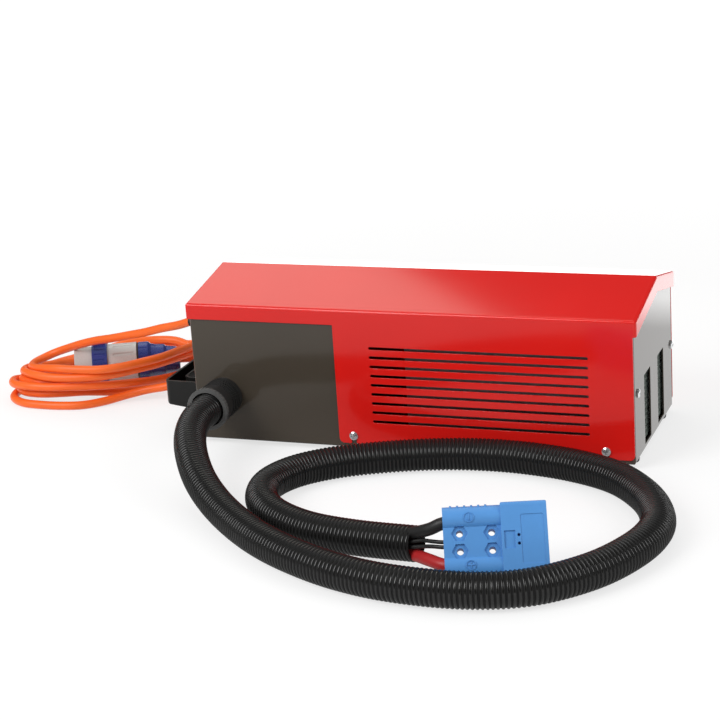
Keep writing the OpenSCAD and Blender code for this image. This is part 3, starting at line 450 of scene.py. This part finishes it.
# SCREWS, NUTS AND FEET
# Zinc-plated pan heads with cross recesses hold the sheets, and the module's studs and the earth
# stud have hexagon nuts. Four soft rubber feet are screwed on below.
plate, given, place = texture("plated_metal", "Gloss", "Spangle")
spangle = add_node(plate, "TexVoronoi", {"Vector": place, "Scale": given["Spangle"], "Randomness": 0.9})
rub = add_node(plate, "TexNoise", {"Vector": place, "Scale": 1100, "Detail": 4}).outputs["Fac"]
relief = add_node(plate, "Bump", {"Height": rub, "Strength": 0.1, "Distance": 0.0001})
put_out(
    plate, maths(plate, "MULTIPLY_ADD", spangle.outputs["Distance"], -0.25, 1.06), given["Colour"],
    speckled(plate, given["Gloss"], rub, 0.24), relief
)
zinc = finish("zinc_plating", plate, {
    "Colour": (0.78, 0.79, 0.8), "Gloss": 0.2, "Spangle": 900.0
}, {"Metallic": 0.8})
for name in (
    "cover_screws", "end_screws", "foot_screws", "handle_screws", "fan_screws", "module_screws",
    "stud_nuts"
):
    wear(nodes[name], zinc)
wear(nodes["feet"], finish("foot_rubber_black", plastic, {
    "Colour": (0.015, 0.015, 0.015), "Mottle": 0.6, "Gloss": 0.62, "Grain": 1500.0, "Depth": 0.3
}))

# HANDLE
# A bow handle moulded in black glass-filled nylon, with an open channel in its top. Two screws
# from inside the left end hold its roots.
wear(nodes["handle"], finish("black_handle_nylon", plastic, {
    "Colour": (0.010, 0.0095, 0.009), "Mottle": 0.5, "Gloss": 0.4, "Grain": 1100.0, "Depth": 0.3,
    "Edge": 0.0008
}))

# FAN END
# A pressed honeycomb guard and a folded plate carry an axial fan behind the two tall openings.
# Frame and rotor are black moulded plastic.
wear(nodes["air_mesh"], finish("guard_steel", plate, {
    "Colour": (0.2, 0.235, 0.21), "Gloss": 0.4, "Spangle": 500.0
}))
wear(nodes["fan_plate"], finish("galvanised_plate", plate, {
    "Colour": (0.5, 0.51, 0.52), "Gloss": 0.38, "Spangle": 130.0
}, {"Metallic": 1}))
fan_black = finish("fan_black_plastic", plastic, {
    "Colour": (0.016, 0.016, 0.017), "Mottle": 0.4, "Gloss": 0.4, "Grain": 1300.0, "Depth": 0.2
})
wear(nodes["fan_frame"], fan_black)
wear(nodes["fan_rotor"], fan_black)

# POWER MODULE
# A sheet-metal case on an extruded aluminium heat sink, with brass output studs, a cream terminal
# block for the mains and a brass earth stud. It shows only through the slots.
case_metal = finish("case_steel", plate, {
    "Colour": (0.24, 0.25, 0.26), "Gloss": 0.42, "Spangle": 110.0
}, {"Metallic": 1})
wear(nodes["module_case"], case_metal)
wear(nodes["module_ends"], case_metal)
wear(nodes["heat_sink"], finish("sink_aluminium", plate, {
    "Colour": (0.6, 0.6, 0.61), "Gloss": 0.42, "Spangle": 700.0
}, {"Metallic": 1}))
brass = finish("stud_brass", plate, {
    "Colour": (0.62, 0.45, 0.18), "Gloss": 0.3, "Spangle": 800.0
}, {"Metallic": 1})
wear(nodes["output_studs"], brass)
wear(nodes["earth_stud"], brass)
wear(nodes["mains_terminal_block"], finish("cream_polyamide", plastic, {
    "Colour": (0.68, 0.65, 0.55), "Mottle": 0.2, "Gloss": 0.4, "Grain": 1300.0, "Depth": 0.2
}))

# GLANDS
# The hose gland is a threaded nylon barrel with a grey-rimmed ring nut that closes on the hose. The
# mains gland is a domed cap on a hexagon, with a tapered sleeve. Both have a locknut inside.
gland_black = finish("gland_black_nylon", plastic, {
    "Colour": (0.02, 0.02, 0.02), "Mottle": 0.4, "Gloss": 0.42, "Grain": 1000.0, "Depth": 0.2
})
for name in (
    "hose_gland_body", "hose_gland_locknut", "mains_gland_body", "mains_gland_cap", "mains_gland_locknut"
):
    wear(nodes[name], gland_black)
ring_nut = nodes["hose_gland_ring"]
wear(ring_nut, gland_black)
ring_nut.data.materials.append(finish("rim_grey_nylon", plastic, {
    "Colour": (0.1, 0.1, 0.098), "Mottle": 0.3, "Gloss": 0.42, "Grain": 900.0, "Depth": 0.2
}))
# The ring nut's rim is grey on the side that faces the hose
rim_width = 0.0055
rim_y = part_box("hose_gland_ring")[0][1] + rim_width
for face in ring_nut.data.polygons:
    if face.center.y < rim_y:
        face.material_index = 1


# A soft ribbed sleeve, tapering over 28 mm, keeps the mains cable from kinking at its cap
def spot(line, distance):
    """The point at a distance along a line."""
    for a, b in zip(line, line[1:]):
        step = (b - a).length
        if distance <= step:
            return a.lerp(b, distance / step)
        distance -= step


sleeve_start, sleeve_step, sleeve_steps = 0.0085, 0.001, 28
root_r, taper, rib_dip = 0.0074, 0.00006, 0.0006
sleeve_spots = [spot(mains_line, sleeve_start + i * sleeve_step) for i in range(sleeve_steps + 1)]
sleeve_r = root_r
bpy.ops.object.select_all(action="DESELECT")
bpy.ops.mesh.primitive_circle_add(
    vertices=32, radius=sleeve_r, fill_type="NGON", location=sleeve_spots[0],
    rotation=(sleeve_spots[1] - sleeve_spots[0]).to_track_quat("Z", "Y").to_euler()
)
sleeve = bpy.context.object
sleeve.name = "cable_strain_relief"
bpy.ops.object.transform_apply()
bpy.ops.object.mode_set(mode="EDIT")
bpy.ops.mesh.select_all(action="SELECT")
for i in range(1, sleeve_steps + 1):
    dip = rib_dip if i % 4 == 2 and 4 < i < 27 else 0
    ring_r = root_r - i * taper - dip
    bpy.ops.mesh.extrude_region_move(TRANSFORM_OT_translate={"value": sleeve_spots[i] - sleeve_spots[i - 1]})
    bpy.ops.transform.resize(value=[ring_r / sleeve_r] * 3, center_override=sleeve_spots[i])
    sleeve_r = ring_r
bpy.ops.mesh.select_all(action="SELECT")
bpy.ops.mesh.normals_make_consistent(inside=False)
bpy.ops.object.mode_set(mode="OBJECT")
round_off(sleeve, 35)
wear(sleeve, finish("sleeve_black_rubber", plastic, {
    "Colour": (0.015, 0.015, 0.015), "Mottle": 0.4, "Gloss": 0.5, "Grain": 1200.0, "Depth": 0.2
}))
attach(sleeve, "charger")

# CONNECTOR
# Two-pole battery connector moulded in blue polycarbonate, with silver-plated contacts. Four bolt
# holes go through its web, and a moulded ring with a sign marks each barrel.
blue = finish("blue_polycarbonate", plastic, {
    "Colour": (0.09, 0.3, 0.68), "Mottle": 0.12, "Gloss": 0.38, "Grain": 1100.0, "Depth": 0.15,
    "Edge": 0.0006
})
wear(nodes["connector_housing"], blue)
wear(nodes["connector_contacts"], finish("silver_plating", plate, {
    "Colour": (0.7, 0.7, 0.68), "Gloss": 0.25, "Spangle": 900.0
}, {"Metallic": 1}))
mounts = {mount["name"]: mount for mount in frame["record"]["mounts"]}
ahead = Vector(mounts["connector_mating_face"]["axis"])
facing = Vector(mounts["connector_upper_bolts"]["axis"])
across = facing.cross(ahead)
connector_length, mark_place = 0.0987, 0.025
back_end = Vector(mounts["connector_mating_face"]["pos_m"]) - connector_length * ahead
# Each mark is a flat ring with its bars, cut to stand 0.7 mm proud of the round barrel
mark_r, line_width, bar_length = 0.0051, 0.0009, 0.0066
mark_base, mark_thick, proud_r = 0.0105, 0.003, 0.0129
for name, height, turns in (("minus_mark", 0.0233, (90,)), ("plus_mark", -0.0224, (0, 90))):
    bpy.ops.object.select_all(action="DESELECT")
    bpy.ops.mesh.primitive_circle_add(
        vertices=72, radius=mark_r, fill_type="NGON", location=(0, 0, mark_base)
    )
    mark = bpy.context.object
    mark.name = name
    bpy.ops.object.transform_apply()
    bpy.ops.object.mode_set(mode="EDIT")
    bpy.ops.mesh.select_all(action="SELECT")
    bpy.ops.mesh.inset(thickness=line_width)
    bpy.ops.mesh.delete(type="FACE")
    bpy.ops.mesh.select_all(action="SELECT")
    bpy.ops.mesh.extrude_region_move(TRANSFORM_OT_translate={"value": (0, 0, mark_thick)})
    bpy.ops.mesh.select_all(action="SELECT")
    bpy.ops.mesh.normals_make_consistent(inside=False)
    bpy.ops.object.mode_set(mode="OBJECT")
    cutters = []
    for turn in turns:
        bpy.ops.mesh.primitive_cube_add(
            size=1, scale=(bar_length, line_width, mark_thick),
            location=(0, 0, mark_base + mark_thick / 2), rotation=(0, 0, math.radians(turn))
        )
        cutters.append(("UNION", bpy.context.object))
    bpy.ops.mesh.primitive_cylinder_add(
        vertices=192, radius=proud_r, depth=0.02, rotation=(0, math.pi / 2, 0)
    )
    cutters.append(("INTERSECT", bpy.context.object))
    bpy.context.view_layer.objects.active = mark
    for operation, cutter in cutters:
        cut = mark.modifiers.new("cut", "BOOLEAN")
        cut.operation = operation
        cut.object = cutter
        bpy.ops.object.modifier_apply(modifier="cut")
        bpy.data.objects.remove(cutter)
    bpy.ops.object.select_all(action="DESELECT")
    mark.select_set(True)
    mark.matrix_world = Matrix.Translation(
        back_end + mark_place * ahead + height * across
    ) @ Matrix((ahead, across, facing)).transposed().to_4x4()
    bpy.ops.object.transform_apply()
    round_off(mark, 40)
    wear(mark, blue)
    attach(mark, "charger")

# PLUG
# Round three-pin plug: a grey shroud and body, a dark blue ring and tail, and brass pins in a
# blue core.
plug_grey = finish("plug_grey_polyamide", plastic, {
    "Colour": (0.57, 0.555, 0.53), "Mottle": 0.15, "Gloss": 0.28, "Grain": 900.0, "Depth": 0.08,
    "Edge": 0.0008
})
plug_blue = finish("plug_blue_polyamide", plastic, {
    "Colour": (0.025, 0.045, 0.24), "Mottle": 0.2, "Gloss": 0.28, "Grain": 900.0, "Depth": 0.08,
    "Edge": 0.0008
})
wear(nodes["plug_shroud"], plug_grey)
wear(nodes["plug_body"], plug_grey)
wear(nodes["plug_ring"], plug_blue)
wear(nodes["plug_tail"], plug_blue)
wear(nodes["plug_core"], plug_blue)
wear(nodes["plug_seal"], finish("seal_rubber", plastic, {
    "Colour": (0.03, 0.012, 0.012), "Mottle": 0.4, "Gloss": 0.55, "Grain": 1200.0, "Depth": 0.2
}))
wear(nodes["plug_pins"], finish("pin_brass", plate, {
    "Colour": (0.68, 0.6, 0.42), "Gloss": 0.25, "Spangle": 900.0
}, {"Metallic": 1}))
